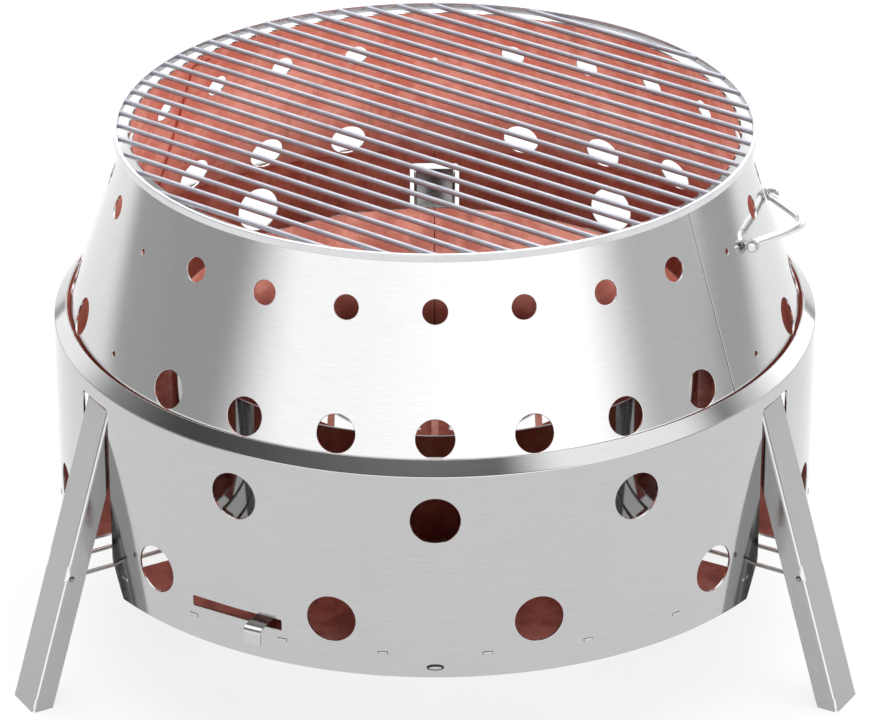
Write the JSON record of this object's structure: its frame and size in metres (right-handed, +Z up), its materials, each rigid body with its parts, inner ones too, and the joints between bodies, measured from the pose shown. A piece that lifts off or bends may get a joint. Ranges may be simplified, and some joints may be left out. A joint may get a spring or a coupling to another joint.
{
  "type": "portable tabletop grill",
  "caption": "Round steel tabletop grill: vented ring on folding legs, vented conical wind guard, wire grate, inner fire ring over an air damper, and a bail handle.",
  "frame": {"origin": "on the floor, under the middle of the bounding box; the ring axis is 25.15 mm in front of it, along -Y", "axes": "+Z up, front (damper lever side) towards -Y, carrying handle towards +X"},
  "size_m": [0.472, 0.4804, 0.2967],
  "materials": {
    "polished_sheet": "fine brushed stainless sheet, nearly mirror bright",
    "brushed_sheet": "brushed stainless sheet",
    "fired_sheet": "heat-tinted stainless sheet",
    "grate_wire": "plain drawn stainless wire",
    "bright_wire": "bright drawn stainless wire"
  },
  "bodies": {
    "grill_body": {"outer_ring": "polished_sheet", "base_plate": "fired_sheet", "damper_pivot": "brushed_sheet", "cone_rest_1": "brushed_sheet", "cone_rest_2": "brushed_sheet", "cone_rest_3": "brushed_sheet", "strut_clip_left": "brushed_sheet", "strut_clip_right": "brushed_sheet", "strut_clip_rear": "brushed_sheet"},
    "damper": {"air_damper": "fired_sheet", "damper_lever": "brushed_sheet", "lever_rivet_inner": "brushed_sheet", "lever_rivet_outer": "brushed_sheet"},
    "cone": {"cone_half_left": "polished_sheet", "cone_half_right": "polished_sheet", "seam_strap_front": "fired_sheet", "seam_strap_rear": "fired_sheet", "handle_eye_near": "brushed_sheet", "handle_eye_far": "brushed_sheet"},
    "handle": {"carry_handle": "bright_wire"},
    "grate": {"grill_grate": "grate_wire"},
    "fire_ring": {"fire_ring": "fired_sheet"},
    "coal_grate": {"charcoal_grate": "fired_sheet"},
    "strut_left": {"strut_left": "bright_wire"},
    "leg_left": {"leg_left": "brushed_sheet"},
    "strut_right": {"strut_right": "bright_wire"},
    "leg_right": {"leg_right": "brushed_sheet"},
    "strut_rear": {"strut_rear": "bright_wire"},
    "leg_rear": {"leg_rear": "brushed_sheet"}
  },
  "joints": [
    {"name": "damper_turn", "type": "hinge", "parent": "grill_body", "child": "damper", "pos_m": [0, -0.02515, 0.0806], "axis": [0, 0, 1], "range_deg": [-10, 0]},
    {"name": "cone_lift", "type": "slide", "parent": "grill_body", "child": "cone", "axis": [0, 0, 1], "range_m": [0, 0.12]},
    {"name": "grate_lift", "type": "slide", "parent": "cone", "child": "grate", "axis": [0, 0, 1], "range_m": [0, 0.12]},
    {"name": "handle_swing", "type": "hinge", "parent": "cone", "child": "handle", "pos_m": [0.18055, -0.06551, 0.2542], "axis": [-0.2181, -0.9759, 0], "range_deg": [-60, 95]},
    {"name": "fire_ring_lift", "type": "slide", "parent": "grill_body", "child": "fire_ring", "axis": [0, 0, 1], "range_m": [0, 0.1]},
    {"name": "coal_grate_lift", "type": "slide", "parent": "grill_body", "child": "coal_grate", "axis": [0, 0, 1], "range_m": [0, 0.15]},
    {"name": "strut_left_fold", "type": "hinge", "parent": "grill_body", "child": "strut_left", "pos_m": [-0.15242, -0.11315, 0.0788], "axis": [-0.5, 0.866, 0], "range_deg": [-169.42, 0]},
    {"name": "leg_left_fold", "type": "hinge", "parent": "strut_left", "child": "leg_left", "pos_m": [-0.20655, -0.1444, 0.0775], "axis": [-0.5, 0.866, 0], "range_deg": [0, 63.12]},
    {"name": "strut_right_fold", "type": "hinge", "parent": "grill_body", "child": "strut_right", "pos_m": [0.15242, -0.11315, 0.0788], "axis": [-0.5, -0.866, 0], "range_deg": [-169.42, 0]},
    {"name": "leg_right_fold", "type": "hinge", "parent": "strut_right", "child": "leg_right", "pos_m": [0.20655, -0.1444, 0.0775], "axis": [-0.5, -0.866, 0], "range_deg": [0, 63.12]},
    {"name": "strut_rear_fold", "type": "hinge", "parent": "grill_body", "child": "strut_rear", "pos_m": [0, 0.15085, 0.0788], "axis": [1, 0, 0], "range_deg": [-169.42, 0]},
    {"name": "leg_rear_fold", "type": "hinge", "parent": "strut_rear", "child": "leg_rear", "pos_m": [0, 0.21335, 0.0775], "axis": [1, 0, 0], "range_deg": [0, 63.12]}
  ],
  "couplings": [
    {"joint": "leg_left_fold", "follows": "strut_left_fold", "ratio": -0.36961},
    {"joint": "leg_right_fold", "follows": "strut_right_fold", "ratio": -0.36961},
    {"joint": "leg_rear_fold", "follows": "strut_rear_fold", "ratio": -0.36961}
  ]
}
